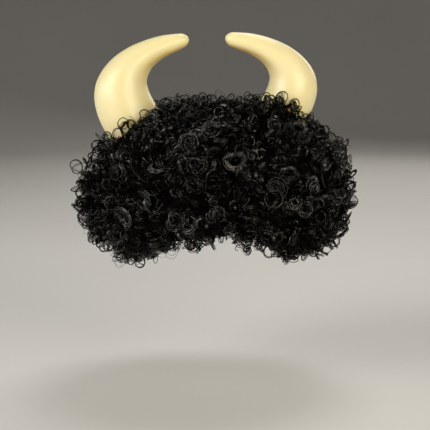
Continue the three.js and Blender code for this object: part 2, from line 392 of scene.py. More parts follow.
def bed_material():
    """The dark tangle under the curls: matt black with a knotted relief."""
    material, tree, shader = new_material("hair_tangle")
    patches = uneven(tree, scale=160, low=0.0, high=1.0)
    knots = uneven(tree, scale=320, low=0.0, high=1.0)
    set_inputs(shader, {
        "Base Color": mixed_colour(tree, patches, (0.0003, 0.0003, 0.0002, 1), (0.0012, 0.0010, 0.0008, 1)),
        "Roughness": uneven(tree, scale=240, low=0.55, high=0.8),
        "Specular IOR Level": 0.08,
        "Normal": bumped(tree, knots, strength=0.9, distance=0.002),
    })
    return material


def horn_material():
    """Cream moulded horn: warmer towards the foot, with a painted golden shade inside its bend, satin, with a
    faint even grain.
    """
    material, tree, shader = new_material("cream_horn")
    length = ramp(tree, point_value(tree, "along"), (
        (0.0, (0.79, 0.67, 0.36)),
        (0.45, (0.825, 0.755, 0.47)),
        (1.0, (0.82, 0.735, 0.435)),
    ))
    patches = uneven(tree, scale=26, low=0.0, high=0.35)
    cream = mixed_colour(tree, patches, length, (0.805, 0.72, 0.41, 1))
    grain = uneven(tree, scale=900, low=0.0, high=1.0)
    set_inputs(shader, {
        # The inner value mixes in a painted golden shade along the inside of the bend.
        "Base Color": mixed_colour(tree, point_value(tree, "inner"), cream, (0.66, 0.49, 0.14, 1)),
        "Roughness": uneven(tree, scale=60, low=0.31, high=0.38),
        "Specular IOR Level": 0.5,
        "Subsurface Weight": 0.8,
        "Subsurface Radius": (1.0, 0.7, 0.3),
        "Subsurface Scale": 0.018,
        "Normal": bumped(tree, grain, strength=0.08, distance=0.0003),
    })
    return material


def net_material():
    """Black stretch net: threads that cross on the slant, rows of sewing round the crown, and a bound hem."""
    material, tree, shader = new_material("cap_net")
    lay = own_map(tree)
    slant = new_node(tree, "Mapping", {"Vector": lay, "Rotation": (0, 0, math.radians(45))})

    def wave(vector, kind, direction, spacing):
        """Bands or rings a spacing apart. At a scale of 1 the texture repeats every pi / 10."""
        scale = math.pi / 10 / spacing
        node = new_node(tree, "TexWave", {"Vector": vector, "Scale": scale, "Distortion": 0.3})
        node.wave_type = kind
        if kind == "BANDS":
            node.bands_direction = direction
        else:
            node.rings_direction = direction
        return node.outputs["Fac"]

    def largest(first, second):
        """The larger of two values."""
        node = new_node(tree, "Math", {0: first, 1: second})
        node.operation = "MAXIMUM"
        return node.outputs["Value"]

    weave = largest(*(wave(slant.outputs["Vector"], "BANDS", axis, NET_SPACING) for axis in "XY"))
    rows = wave(lay, "RINGS", "SPHERICAL", WEFT_SPACING)
    net = ramp(tree, weave, ((0.70, (0.003, 0.003, 0.003)), (0.95, (0.060, 0.057, 0.054))))
    sewn = ramp(tree, rows, ((0.80, (0.0, 0.0, 0.0)), (0.93, (0.030, 0.029, 0.027))))
    both = mixed_colour(tree, 1.0, net, sewn, "LIGHTEN")
    set_inputs(shader, {
        "Base Color": mixed_colour(tree, point_value(tree, "hem"), both, (0.020, 0.019, 0.019, 1)),
        "Roughness": uneven(tree, scale=90, low=0.7, high=0.9),
        "Normal": bumped(tree, largest(weave, rows), strength=0.7, distance=0.0012),
    })
    return material


def paper_material():
    """The pale studio paper: matt, faintly uneven, with painted shade that greys it towards its walls, and
    clear from below.
    """
    material, tree, shader = new_material("studio_paper")
    place = tree.nodes.new("ShaderNodeTexCoord").outputs["Object"]
    reach = new_node(tree, "VectorMath", {0: place})
    reach.operation = "LENGTH"
    share = new_node(tree, "MapRange", {
        "Value": reach.outputs["Value"], "From Min": PAPER_SHADE_START, "From Max": PAPER_WALL,
    })
    # Painted shade: the paper's colour greys from its middle out to its walls, as where the lamps' light
    # falls off.
    paper_shade = ramp(tree, share.outputs["Result"], ((0.0, (0.66, 0.66, 0.66)), (1.0, (0.24, 0.24, 0.24))))
    patches = uneven(tree, scale=3, low=0.0, high=0.1)
    colour = mixed_colour(tree, patches, paper_shade, (0.45, 0.45, 0.44, 1))
    set_inputs(shader, {"Base Color": colour, "Roughness": 0.8})
    under = tree.nodes.new("ShaderNodeNewGeometry").outputs["Backfacing"]
    clear = tree.nodes.new("ShaderNodeBsdfTransparent").outputs["BSDF"]
    either = new_node(tree, "MixShader", {"Fac": under, 1: shader.outputs["BSDF"], 2: clear})
    set_inputs(tree.nodes["Material Output"], {"Surface": either.outputs["Shader"]})
    return material


# The head space and the cap

def head_gauge(points, grown):
    """1 on the egg-shaped head grown by some metres, less inside it. Below its middle it is a column."""
    level = np.hypot(
        points[..., 0] / (HEAD_HALF_WIDTH + grown), points[..., 1] / (HEAD_HALF_DEPTH + grown)
    )
    height = np.maximum(points[..., 2] + HEAD_RISE, 0) / (HEAD_RISE + grown)
    return (level**HEAD_FULLNESS + height**HEAD_FULLNESS) ** (1 / HEAD_FULLNESS)


def head_points(bearing, angle, grown, column=False):
    """The egg: rings of a superellipse, at a bearing and an angle down from the top.

    A column keeps its full ring below the egg's middle.
    """
    power = 2 / HEAD_FULLNESS
    ring = np.sin(angle) ** power
    if column:
        ring = np.where(angle > math.pi / 2, 1.0, ring)
    return np.stack([
        (HEAD_HALF_WIDTH + grown) * ring * np.cos(bearing),
        (HEAD_HALF_DEPTH + grown) * ring * np.sin(bearing),
        (HEAD_RISE + grown) * signed_power(np.cos(angle), power) - HEAD_RISE,
    ], axis=-1)


def hem_angles(bearing):
    """The hem's angle down from the top: it climbs over the forehead and drops to the nape."""
    towards_back = np.sin(bearing)
    end = np.where(towards_back > 0, CAP_HEM_BACK, CAP_HEM_FRONT)
    return np.radians(CAP_HEM_SIDE + (end - CAP_HEM_SIDE) * np.abs(towards_back) ** CAP_HEM_SWEEP)


def make_cap(material):
    """A net shell: rows down its outside to the hem and back up its inside, with a thicker rounded hem."""
    bearing = np.linspace(0, 2 * math.pi, CAP_AROUND, endpoint=False)[None, :]
    share = np.linspace(0, 1, CAP_ROWS + 1)[1:, None]
    angle = share * hem_angles(bearing)
    from_edge = (1 - share) * hem_angles(bearing) * HEAD_RISE
    hem = smooth_step(from_edge, CAP_HEM_HEIGHT, CAP_HEM_HEIGHT * CAP_HEM_FULL)
    rounding = np.sqrt(np.clip(1 - smooth_step(share, CAP_EDGE_START, 1.0) ** 2, 0.0, 1.0))
    outside = head_points(bearing, angle, CAP_WALL / 2 + (CAP_WALL / 2 + CAP_HEM_EXTRA * hem) * rounding)
    inside = head_points(bearing, angle, CAP_WALL / 2 - CAP_WALL / 2 * rounding)
    grid = np.concatenate([outside, inside[::-1]])
    lay = (angle * HEAD_RISE)[..., None] * np.stack([np.cos(bearing), np.sin(bearing)], axis=-1)
    lay = np.concatenate([lay, lay[::-1]]).reshape(-1, 2)
    lay = np.concatenate([lay, np.zeros((2, 2))])
    band = np.concatenate([np.concatenate([hem, hem[::-1]]).ravel(), (0, 0)])
    return closed_surface("cap", grid, (0, 0, CAP_WALL), (0, 0, 0), material, {"hem": band}, lay)


# The horns

def horn_sections(horn, count):
    """Middles and half widths of many sections: both ends follow a cubic through the stated ones.

    The cubic's slopes come from its neighbours' distances, and its steps are even along the middle line.
    """
    side, middle_line, foot_lift, tip_lift, slim = horn
    middles = (HORN_SECTIONS[:, :2] + HORN_SECTIONS[:, 2:]) / 2
    knots = np.concatenate([[0], np.cumsum(np.linalg.norm(np.diff(middles, axis=0), axis=-1))])
    slopes = np.gradient(HORN_SECTIONS, knots, axis=0)
    place = np.linspace(0, knots[-1], count)
    span = np.clip(np.searchsorted(knots, place, side="right") - 1, 0, len(knots) - 2)
    reach = (knots[span + 1] - knots[span])[:, None]
    part = (place - knots[span])[:, None] / reach
    ends = (
        HORN_SECTIONS[span] * (1 + 2 * part) * (1 - part) ** 2
        + slopes[span] * reach * part * (1 - part) ** 2
        + HORN_SECTIONS[span + 1] * part**2 * (3 - 2 * part)
        + slopes[span + 1] * reach * part**2 * (part - 1)
    )
    share = (span + part[:, 0]) / (len(knots) - 1)
    lift = foot_lift + (tip_lift - foot_lift) * share
    forward = np.full(count, -HORN_FORWARD)
    inner = np.stack([middle_line + side * ends[:, 0], forward, ends[:, 1] + lift], axis=-1)
    outer = np.stack([middle_line + side * ends[:, 2], forward, ends[:, 3] + lift], axis=-1)
    fullness = slim + (1 - slim) * share[:, None]
    return (inner + outer) / 2, (outer - inner) / 2 * fullness


def horn_tube(horn, around, count):
    """Round sections carried along the horn from its foot, then the shrinking rings of an egg's end."""
    side = horn[0]
    middles, halves = horn_sections(horn, count)
    across = np.array((0.0, 1.0, 0.0))
    onward = np.cross(halves[-1], across) * side * TIP_LENGTH / math.cos(TIP_TURN)
    turn = np.linspace(TIP_TURN, math.pi / 2, TIP_RINGS + 2)[1:-1, None]
    tip = middles[-1] + onward * (1 - math.sin(TIP_TURN))
    middles = np.concatenate([middles, middles[-1] + onward * (np.sin(turn) - math.sin(TIP_TURN))])
    halves = np.concatenate([halves, halves[-1] * np.cos(turn) / math.cos(TIP_TURN)])
    angle = np.linspace(0, 2 * math.pi, around, endpoint=False)[:, None]
    radii = np.linalg.norm(halves, axis=-1)[:, None, None]
    rings = middles[:, None] + halves[:, None] * np.cos(angle) - side * across * radii * np.sin(angle)
    return rings, tip


def make_horn(name, horn, material):
    """A horn whose every long line starts where it meets the cap, with a foot that lies on the cap.

    The values along and inner say how far up the horn a point lies, and how much painted golden shade it gets
    inside the bend.
    """
    fine, tip = horn_tube(horn, HORN_AROUND, HORN_FINE_ROWS)
    stand_off = CAP_WALL + HORN_STAND_OFF
    inside = head_gauge(fine, stand_off) < 1
    start = np.where(inside.any(axis=0), len(fine) - np.argmax(inside[::-1], axis=0), 0)
    share = np.linspace(0, 1, HORN_ROWS)[:, None]
    wanted = start + (len(fine) - 1 - start) * share
    low = np.minimum(wanted.astype(int), len(fine) - 2)
    mix = (wanted - low)[..., None]
    column = np.arange(HORN_AROUND)
    skin = fine[low, column] * (1 - mix) + fine[low + 1, column] * mix
    middle = skin[0].mean(axis=0)
    foot = middle + (skin[0] - middle) * np.array(FOOT_RINGS)[:, None, None]
    centre = np.array((0.0, 0.0, -HEAD_RISE))
    foot = centre + (foot - centre) / head_gauge(foot, stand_off)[..., None]
    pole = centre + (middle - centre) / head_gauge(middle, stand_off)
    grid = np.concatenate([foot, skin])
    along = np.concatenate([np.zeros(len(foot)), share[:, 0]])
    along = np.concatenate([np.repeat(along, HORN_AROUND), (0, 1)])
    inward = (1 - np.cos(2 * math.pi * column / HORN_AROUND)) / 2
    inward = np.concatenate([np.tile(inward, len(grid)), (0, 0)])
    # inner is the mask of the painted shade: golden colour towards the inside of the bend, fading out near
    # the foot.
    inner = smooth_step(inward, SHADE_PAINT_START, 1.0) * smooth_step(along, *SHADE_PAINT_ALONG)
    return closed_surface(name, grid, pole, tip, material, {"along": along, "inner": inner})


# The bed of hair

def bed_points(bearing, angle):
    """The bed's dome and bowl: rings of a superellipse. The bowl below the waist is shallower at the back."""
    towards_back = np.sin(bearing)
    upper = angle <= math.pi / 2
    power = np.where(upper, 2 / BED_UPPER_FULLNESS, 2 / BED_LOWER_FULLNESS)
    ring = np.sin(angle) ** power
    drop = BED_WAIST - BED_BOTTOM - BED_BACK_RISE * np.maximum(towards_back, 0)
    height = np.where(upper, BED_TOP - BED_WAIST, drop)
    depth = np.where(towards_back > 0, BED_BACK, BED_FRONT)
    return np.stack([
        BED_HALF_WIDTH * ring * np.cos(bearing) * np.ones_like(angle),
        depth * ring * towards_back,
        BED_WAIST + height * signed_power(np.cos(angle), power),
    ], axis=-1)


def lumps(points, wavelength, seed):
    """Rolling lumps between about -1 and 1: a few sine waves that cross the space in seeded directions."""
    draw = np.random.default_rng(seed)
    waves = unit(draw.normal(size=(LUMP_WAVES, 3))) * (2 * math.pi / wavelength)
    phases = draw.uniform(0, 2 * math.pi, LUMP_WAVES)
    return np.sin(points @ waves.T + phases).sum(axis=-1) / LUMP_SUM


def bed_grid():
    """Rows from the crown over the dome to the rim, across the underside, and up the inside along the cap."""
    bearing = np.linspace(0, 2 * math.pi, BED_AROUND, endpoint=False)[None, :]
    towards_back = np.sin(bearing)
    across = np.abs(BED_HALF_WIDTH * np.cos(bearing) - FACE_MIDDLE)
    face = smooth_step(-across, -FACE_HALF_WIDTH - FACE_BLEND, -FACE_HALF_WIDTH) * (towards_back < 0)
    arch = np.exp(-((across / FRINGE_ARCH_HALF_WIDTH) ** 2))
    less = BACK_LESS * np.maximum(towards_back, 0) + TEMPLE_LESS * np.minimum(towards_back, 0) ** 2
    fringe_angle = np.radians(FRINGE_END - FRINGE_ARCH_LESS * arch)
    side_angle = np.radians(SIDE_END - less)
    rim_angle = side_angle + (fringe_angle - side_angle) * face
    inner_angle = np.radians(INNER_END + (INNER_FACE_END - INNER_END) * face)
    share = np.linspace(0, 1, BED_OUTER_ROWS + 1)[1:, None]
    outside = bed_points(bearing, share * rim_angle)
    inner = np.linspace(1, 0, BED_INNER_ROWS + 1)[:-1, None]
    inside = head_points(bearing, inner * inner_angle, BED_GAP_TO_HEAD, column=True)
    step = np.linspace(0, 1, BED_UNDER_ROWS + 2)[1:-1, None, None]
    under = outside[-1] + (inside[0] - outside[-1]) * step
    under[..., 2] -= BED_UNDER_SAG * np.sin(math.pi * step[..., 0])
    outer_rows = len(outside) + len(under)
    grid = np.concatenate([outside, under, inside])
    return grid, outer_rows


def grid_normals(grid):
    """Directions straight out of a grid that closes round, from its steps down and round."""
    down = np.gradient(grid, axis=0)
    onward = np.roll(grid, -1, axis=1) - np.roll(grid, 1, axis=1)
    return unit(np.cross(down, onward))


def spread_over(grid, normals, count, draw):
    """Places and normals spread evenly over a grid by its area, with a jitter inside each even step."""
    corner = [grid[:-1], np.roll(grid, -1, axis=1)[:-1], grid[1:], np.roll(grid, -1, axis=1)[1:]]
    area = np.linalg.norm(np.cross(corner[3] - corner[0], corner[1] - corner[2]), axis=-1) / 2
    total = np.cumsum(area.ravel())
    pick = (np.arange(count) + draw.uniform(0, 1, count)) / count * total[-1]
    face = np.minimum(np.searchsorted(total, pick), area.size - 1)
    row, column = np.unravel_index(face, area.shape)
    beside = (column + 1) % grid.shape[1]
    u, v = draw.uniform(0, 1, (2, count, 1))

    def blend(field):
        """A field's values at the picked places, weighted between the four corners of their faces."""
        top = field[row, column] * (1 - u) + field[row, beside] * u
        low = field[row + 1, column] * (1 - u) + field[row + 1, beside] * u
        return top * (1 - v) + low * v

    return blend(grid), unit(blend(normals))


def evened(places, normals, spacing):
    """Places that push each other apart along the surface where they lie closer than a spacing."""
    for _ in range(RELAX_ROUNDS):
        apart = places[:, None] - places
        distance = np.linalg.norm(apart, axis=-1, keepdims=True)
        push = np.clip(1 - distance / spacing, 0, None) * apart / np.maximum(distance, TINY)
        move = push.sum(axis=1) * spacing * RELAX_SHARE
        places = places + move - normals * (move * normals).sum(-1, keepdims=True)
    return places


# Kinds of locks, and where they grow

BAND_CORNERS = 4
STRAND_CORNERS = 3
BAND_THICKNESS = (0.00035, 0.00055)
# A band's width at its start and end, as a share of its full one, and the stretch where it has that.
BAND_START_WIDTH = 0.25
BAND_END_WIDTH = 0.20
BAND_FULL = (0.2, 0.72)
# A strand's thickness: a share that it keeps, and a sine wave for the rest, from and to, in half turns.
STRAND_BASE = 0.5
STRAND_WAVE = (0.12, 0.92)
# How far past its band a lock's strands spread, and how unevenly they lie beside each other.
BAND_MARGIN = 1.2
BESIDE_JITTER = 0.3
# A curl's width at its root, as a share, where along it is widest, where its leg ends and its tail starts.
CURL_START_WIDTH = 0.45
CURL_WIDEST = 0.3
LEG_END = 0.2
TAIL_START = 0.78
# How much a curl's circle wavers, how often in a turn, and by how many times its start angle it is shifted.
CURL_WOBBLE = 0.09
WOBBLE_PACE = 1.7
WOBBLE_SHIFT = 3
# The curls' own map: units a metre along a strand and round it, and the step from strand to strand.
MAP_ALONG = 100
MAP_ROUND = 1000
MAP_STEP = 3.7
# Most strands are dark and few shine. A strand's tone is partly its own and partly its lock's.
TONE_CONTRAST = 4.5
OWN_TONE = 0.5
# What locks have in common. Lengths are in metres, and a strand's turns round its stem in whole turns.
# loose is how far, in radians, a lock's strands start apart, and tuck the share of its width at its end.
PLAIN_LOCK = {
    "steps": 18, "tuck": 0.75, "tail": 0.008, "lean": (0, 0, -0.4), "loose": 0.12, "stray": 0.0009,
    "band": (0.0, 0.0), "flat": False, "thickness": (0.00038, 0.00055), "tone": (0.0, 1.0),
}
RINGLETS = PLAIN_LOCK | {
    "strands": 3, "start": (-0.005, -0.001), "rise": (0.006, 0.013), "run": (0.004, 0.018),
    "radius": (0.0040, 0.0070), "turns": (1.6, 2.4), "spread": 0.0009, "band": (0.0006, 0.0011),
    "tail": 0.013,
}
FINE_RINGLETS = RINGLETS | {
    "strands": 4, "steps": 20, "radius": (0.0032, 0.0056), "turns": (2.0, 3.0), "spread": 0.0026,
    "band": (0.0, 0.0),
}
BOLD_RINGLETS = PLAIN_LOCK | {
    "strands": 5, "start": (0.004, 0.010), "rise": (0.003, 0.008), "run": (0.002, 0.008),
    "radius": (0.0070, 0.0100), "turns": (1.2, 1.8), "tuck": 0.5, "spread": 0.0018,
    "band": (0.0005, 0.0010), "flat": True,
}
RIM_RINGLETS = PLAIN_LOCK | {
    "strands": 4, "steps": 16, "start": (-0.003, 0.001), "rise": (0.004, 0.009), "run": (0.005, 0.011),
    "radius": (0.0048, 0.0070), "turns": (1.5, 2.3), "lean": (0, 0, -2), "loose": 0.7, "stray": 0.0016,
    "spread": 0.0020, "thickness": (0.00036, 0.00052), "tail": 0.012,
}
WAVES = PLAIN_LOCK | {
    "strands": 4, "steps": 14, "start": (-0.004, 0.002), "rise": (0.005, 0.009), "run": (0.010, 0.022),
    "radius": (0.008, 0.012), "turns": (0.8, 1.3), "tuck": 0.7, "spread": 0.0014, "band": (0.0007, 0.0012),
    "thickness": (0.00036, 0.00050),
}
LOOPS = PLAIN_LOCK | {
    "strands": 3, "steps": 16, "start": (0.007, 0.0125), "rise": (0.001, 0.003), "run": (0.003, 0.007),
    "radius": (0.0056, 0.0078), "turns": (1.2, 1.7), "tuck": 0.8, "lean": (0, 0, -0.2), "spread": 0.0010,
    "thickness": (0.00036, 0.00050),
}
FLYAWAYS = PLAIN_LOCK | {
    "strands": 2, "start": (0.000, 0.006), "rise": (0.008, 0.016), "run": (0.004, 0.010),
    "radius": (0.0050, 0.0068), "turns": (1.3, 2.0), "lean": (0, 0, -0.2), "spread": 0.0007,
    "thickness": (0.00028, 0.00042), "tail": 0.014,
}
UNDER_CURLS = PLAIN_LOCK | {
    "strands": 3, "steps": 12, "start": (-0.004, -0.001), "rise": (0.003, 0.006), "run": (0.006, 0.014),
    "radius": (0.0036, 0.0060), "turns": (1.2, 1.8), "loose": 0.4, "stray": 0.0014, "spread": 0.0032,
}
FRIZZ = PLAIN_LOCK | {
    "strands": 2, "steps": 14, "start": (0.004, 0.011), "rise": (0.005, 0.012), "run": (0.004, 0.012),
    "radius": (0.0040, 0.0072), "turns": (0.9, 1.5), "loose": 0.9, "stray": 0.0016, "spread": 0.0020,
    "thickness": (0.00016, 0.00024), "tail": 0.012,
}
ROSETTES = PLAIN_LOCK | {
    "strands": 7, "steps": 26, "start": (0.0175, 0.0185), "rise": (0.0010, 0.0011), "run": (0.0014, 0.0016),
    "radius": (0.0096, 0.0102), "turns": (1.75, 1.9), "tuck": 0.86, "lean": (0, 0, -6), "stray": 0.0006,
    "spread": 0.0006, "band": (0.0010, 0.0012), "flat": True, "tone": (0.81, 0.87),
}
SWIRLS = PLAIN_LOCK | {
    "strands": 11, "steps": 16, "start": (0.011, 0.013), "rise": (0.001, 0.002), "run": (0.0005, 0.001),
    "radius": (0.0070, 0.0085), "turns": (0.7, 1.0), "tuck": 0.8, "loose": 3.0, "stray": 0.0012,
    "spread": 0.0034, "flat": True, "thickness": (0.00042, 0.00060), "tone": (0.55, 0.9),
}
EDGE_RINGS = PLAIN_LOCK | {
    "strands": 3, "steps": 20, "start": (0.012, 0.014), "rise": (0.0005, 0.001), "run": (0.004, 0.006),
    "radius": (0.0058, 0.0072), "turns": (1.3, 1.7), "tuck": 0.85, "lean": (0, -8, 1), "stray": 0.0006,
    "spread": 0.0010, "thickness": (0.00036, 0.00050),
}
STRAY_RINGS = EDGE_RINGS | {
    "start": (0.0315, 0.0335), "radius": (0.0074, 0.0080), "loose": 0.5, "spread": 0.0018,
    "thickness": (0.00038, 0.00048),
}
# Columns: kind of lock, how many, the first and last share of the bed's rows that it grows on, spacing.
LOCKS = (
    (RINGLETS, 420, 0.0, 1.0, 0.022),
    (FINE_RINGLETS, 500, 0.0, 1.0, 0.0205),
    (BOLD_RINGLETS, 140, 0.0, 0.70, 0.033),
    (RIM_RINGLETS, 230, 0.80, 1.0, 0.012),
    (WAVES, 150, 0.0, 0.66, 0.032),
    (LOOPS, 540, 0.0, 0.90, 0.0168),
    (FLYAWAYS, 150, 0.0, 0.90, 0.028),
    (UNDER_CURLS, 380, 0.0, 0.92, 0.019),
    (FRIZZ, 140, 0.0, 0.95, 0.028),
)

# Locks that stand out on the front and along its outline, as the photograph's view shows them.
# Columns: across and up from the middle of the view, in the plane that it aims at.
ROSETTE_PLACES = np.array(((0.021, 0.063),))
SWIRL_PLACES = np.array((
    (-0.054, 0.059),
    (-0.106, 0.046),
    (-0.079, 0.019),
    (-0.005, 0.095),
    (-0.030, 0.079),
    (-0.019, 0.030),
    (-0.001, 0.003),
    (-0.046, -0.003),
    (-0.072, 0.106),
    (0.019, 0.099),
    (0.067, 0.033),
    (0.100, 0.004),
    (0.112, 0.029),
    (-0.020, 0.059),
))
STRAY_RING_PLACES = np.array(((-0.1635, 0.0615),))
EDGE_RING_PLACES = np.array((
    (-0.145, 0.065),
    (-0.138, 0.075),
    (-0.123, 0.089),
    (-0.103, 0.100),
    (-0.080, 0.108),
    (-0.055, 0.128),
    (-0.034, 0.132),
    (-0.018, 0.132),
    (0.011, 0.131),
    (0.039, 0.128),
    (0.055, 0.132),
    (0.073, 0.129),
    (0.091, 0.120),
    (0.106, 0.110),
    (0.122, 0.099),
    (0.141, 0.074),
    (0.153, 0.053),
    (0.157, 0.036),
    (0.157, 0.010),
    (-0.149, 0.025),
    (-0.137, -0.028),
    (-0.123, -0.037),
    (-0.082, -0.054),
))
# The edge rings grow on a line over the crown and down the sides: where it lies, and its half width.
EDGE_LINE = -0.037
EDGE_LINE_HALF_WIDTH = 0.008
# How squarely the bed faces the view where the other placed locks may grow: the cosine of the widest angle.
FACING_LEAST = 0.1


# The curls

def curled_paths(root, outward, sideways, rise, run, radius, turns, phase, leg, shift, tuck, tail, steps):
    """Strands wound round bent stems. Every argument but tuck, tail and steps has one row a strand.

    A stem leaves its root along outward and bends over to sideways, as a quadratic curve. The strand goes
    round the stem on a circle square to it, which opens out from the root, closes in to a share, tuck, at the
    tip and wavers a little. The whole strand lies shifted along the stem. Its first part comes up out of the
    bed from the depth of its leg, and its last part dives back by the depth of its tail. Gives the places,
    and the directions from the stem to them.
    """
    share = np.linspace(0, 1, steps + 1)[None, :, None]
    rise = rise[:, None, None] * outward[:, None]
    run = run[:, None, None] * sideways[:, None]
    stem = root[:, None] + rise * (2 * share - share**2) + run * share**2
    along = unit(rise * (1 - share) + run * share)
    second = np.broadcast_to(unit(np.cross(outward, sideways))[:, None], along.shape)
    first = np.cross(second, along)
    angle = phase[:, None, None] + 2 * math.pi * turns[:, None, None] * share
    opening = CURL_START_WIDTH + (1 - CURL_START_WIDTH) * smooth_step(share, 0.0, CURL_WIDEST)
    closing = 1 - (1 - tuck) * smooth_step(share, CURL_WIDEST, 1.0)
    wobble = 1 + CURL_WOBBLE * np.sin(WOBBLE_PACE * angle + WOBBLE_SHIFT * phase[:, None, None])
    around = first * np.cos(angle) + second * np.sin(angle)
    places = stem + along * shift[:, None, None] + around * radius[:, None, None] * opening * closing * wobble
    leg = leg[:, None, None] * (1 - smooth_step(share, 0.0, LEG_END))
    depth = leg + tail * smooth_step(share, TAIL_START, 1.0)
    return places - outward[:, None] * depth, around


def tubes(paths, around, out, across, corners):
    """Slim tubes along many paths at once: a section of some corners, slimmer at both ends, closed by fans.

    out is a strand's half size away from the stem and across its half size square to that. The section's
    corners lie evenly round an ellipse, and the fans at the ends go out from the section's first corner. A
    strand swells and thins by part of a sine wave, and a band keeps its width but for both ends.
    """
    strands, count, _ = paths.shape
    along = unit(np.gradient(paths, axis=1))
    side = unit(around - along * (around * along).sum(-1, keepdims=True))
    other = np.cross(along, side)
    share = np.linspace(0, 1, count)
    wave = np.sin(math.pi * (STRAND_WAVE[0] + (STRAND_WAVE[1] - STRAND_WAVE[0]) * share))
    taper = STRAND_BASE + (1 - STRAND_BASE) * wave
    if corners == BAND_CORNERS:
        taper = BAND_START_WIDTH + (1 - BAND_START_WIDTH) * smooth_step(share, 0.0, BAND_FULL[0])
        taper = taper - (1 - BAND_END_WIDTH) * smooth_step(share, BAND_FULL[1], 1.0)
    turn = np.arange(corners) * 2 * math.pi / corners
    out = (out[:, None] * taper)[..., None, None] * np.cos(turn)[:, None]
    across = (across[:, None] * taper)[..., None, None] * np.sin(turn)[:, None]
    points = paths[..., None, :] + side[..., None, :] * out + other[..., None, :] * across
    base = (np.arange(strands) * count * corners)[:, None, None]
    step = (np.arange(count - 1) * corners)[None, :, None]
    here = np.arange(corners)
    beside = (here + 1) % corners
    quads = np.stack([
        base + step + here, base + step + beside, base + step + corners + beside, base + step + corners + here
    ], axis=-1)
    fan = np.stack([np.zeros(corners - 2, int), here[1:-1], here[2:]], axis=-1)
    first = base + fan[:, ::-1]
    last = base + (count - 1) * corners + fan
    ends = np.concatenate([first.reshape(-1, 3), last.reshape(-1, 3)])
    return points.reshape(-1, 3), quads.reshape(-1, 4), ends


def lock_strands(places, normals, kind, draw):
    """The band of each lock of a kind, and the finer strands beside it, wound round the same stem.

    A flat lock spreads its strands away from the stem, as a rosette does, and any other lock along it.
    """
    count = len(places)
    each = kind["strands"]
    number = count * each

    def drawn(title, size=count):
        """Even draws from the kind's range of a value."""
        return draw.uniform(*kind[title], size)

    sideways = unit(draw.normal(size=(count, 3)) + np.array(kind["lean"]))
    sideways = unit(sideways - normals * (sideways * normals).sum(-1, keepdims=True))
    start = drawn("start")
    lock = {
        "root": places + normals * start[:, None],
        "outward": normals,
        "sideways": sideways,
        "rise": drawn("rise"),
        "run": drawn("run"),
        "radius": drawn("radius"),
        "turns": drawn("turns") * draw.choice((-1, 1), count),
        "phase": draw.uniform(0, 2 * math.pi, count),
        "leg": np.maximum(start, 0),
    }
    shape = {title: kind[title] for title in ("tuck", "tail", "steps")}
    tone = drawn("tone") ** TONE_CONTRAST
    half_band = drawn("band")
    batches = []
    if half_band.max() > 0:
        paths, around = curled_paths(**lock, shift=np.zeros(count), **shape)
        thin = draw.uniform(*BAND_THICKNESS, count)
        out, across = (half_band, thin) if kind["flat"] else (thin, half_band)
        batches.append(dict(paths=paths, around=around, out=out, across=across, tone=tone, root=places))
    fine = {title: np.repeat(values, each, axis=0) for title, values in lock.items()}
    reach = np.repeat(half_band, each) * BAND_MARGIN + kind["spread"]
    beside = np.tile(np.linspace(-1, 1, each), count) + draw.uniform(-BESIDE_JITTER, BESIDE_JITTER, number)
    beside = beside * reach
    jitter = draw.uniform(-1, 1, number) * kind["stray"]
    apart, shift = (beside, jitter) if kind["flat"] else (jitter, beside)
    fine["radius"] = fine["radius"] + apart
    fine["phase"] = fine["phase"] + draw.uniform(-1, 1, number) * kind["loose"]
    paths, around = curled_paths(**fine, shift=shift, **shape)
    slim = drawn("thickness", number)
    own_tone = drawn("tone", number) ** TONE_CONTRAST
    tones = np.repeat(tone, each) * (1 - OWN_TONE) + own_tone * OWN_TONE
    roots = np.repeat(places, each, axis=0)
    batches.append(dict(paths=paths, around=around, out=slim, across=slim, tone=tones, root=roots))
    return batches


def seen_places(points):
    """Where the photograph's view shows points: across and up from its middle, in the plane it aims at.

    What lies nearer to the view shows larger, in proportion to the distance.
    """
    away = points - np.array(PHOTO_AIM)
    scale = PHOTO_DISTANCE / (PHOTO_DISTANCE - away @ TOWARDS_VIEW)
    return np.stack([away[..., 0], away @ UP_IN_VIEW], axis=-1) * scale[..., None]


def placed_locks(grid, normals, draw):
    """Locks of the placed kinds, each rooted where its middle is seen nearest to a stated place."""
    facing = normals @ TOWARDS_VIEW > FACING_LEAST
    edge = np.abs(grid[..., 1] - EDGE_LINE) < EDGE_LINE_HALF_WIDTH
    locks = []
    for kind, places, where in (
        (ROSETTES, ROSETTE_PLACES, facing),
        (SWIRLS, SWIRL_PLACES, facing),
        (EDGE_RINGS, EDGE_RING_PLACES, edge),
        (STRAY_RINGS, STRAY_RING_PLACES, edge),
    ):
        points, outward = grid[where], normals[where]
        seen = seen_places(points + outward * np.mean(kind["start"]))
        nearest = np.linalg.norm(seen[:, None] - places, axis=-1).argmin(axis=0)
        locks.append(lock_strands(points[nearest], outward[nearest], kind, draw))
    return locks


